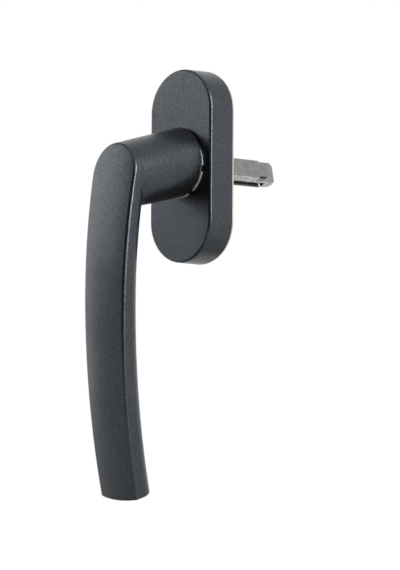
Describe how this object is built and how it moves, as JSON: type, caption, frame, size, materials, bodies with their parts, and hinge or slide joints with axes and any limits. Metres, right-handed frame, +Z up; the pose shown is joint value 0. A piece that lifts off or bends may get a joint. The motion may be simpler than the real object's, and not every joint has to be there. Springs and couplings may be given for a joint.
{
  "type": "window handle",
  "caption": "Window handle with a bowed lever on a sloping round neck, an oblong rounded escutcheon and a square drive spindle with a cross-shaped tip.",
  "frame": {"origin": "on the turning axis, at the face that lies on the window frame, midway between the two screw holes", "axes": "+Z up, +Y into the window frame along the spindle, +X right as the user sees it; the lever hangs down"},
  "size_m": [0.0296, 0.0826, 0.1453],
  "materials": {
    "coated_lever": "fine-textured metallic anthracite powder coat",
    "coated_cover": "fine-textured metallic anthracite powder coat",
    "spindle_metal": "dull die-cast grey",
    "pin_steel": "ground",
    "plate_metal": "as cast",
    "bearing_plastic": "matt",
    "ring_plastic": "matt",
    "cam_plastic": "matt",
    "spring_steel": "rolled",
    "washer_steel": "stamped",
    "retainer_steel": "phosphated"
  },
  "bodies": {
    "base": {"base_plate": "plate_metal", "bearing_cap": "bearing_plastic", "left_detent_spring": "spring_steel", "right_detent_spring": "spring_steel", "thrust_washer": "washer_steel"},
    "lever": {"lever": "coated_lever", "detent_cam": "cam_plastic", "retaining_ring": "retainer_steel", "slide_ring": "ring_plastic"},
    "cover": {"cover": "coated_cover"},
    "spindle": {"spindle": "spindle_metal", "drive_pin": "pin_steel"}
  },
  "joints": [
    {"name": "lever_turn", "type": "hinge", "parent": "base", "child": "lever", "pos_m": [0, 0, 0], "axis": [0, 1, 0], "range_deg": [-180, 180], "deforming": ["left_detent_spring", "right_detent_spring"]},
    {"name": "cover_turn", "type": "hinge", "parent": "base", "child": "cover", "pos_m": [0, 0, 0], "axis": [0, 1, 0], "range_deg": [-90, 90]},
    {"name": "spindle_play", "type": "hinge", "parent": "lever", "child": "spindle", "pos_m": [0, 0, 0], "axis": [0, 1, 0], "range_deg": [-2, 54]}
  ]
}
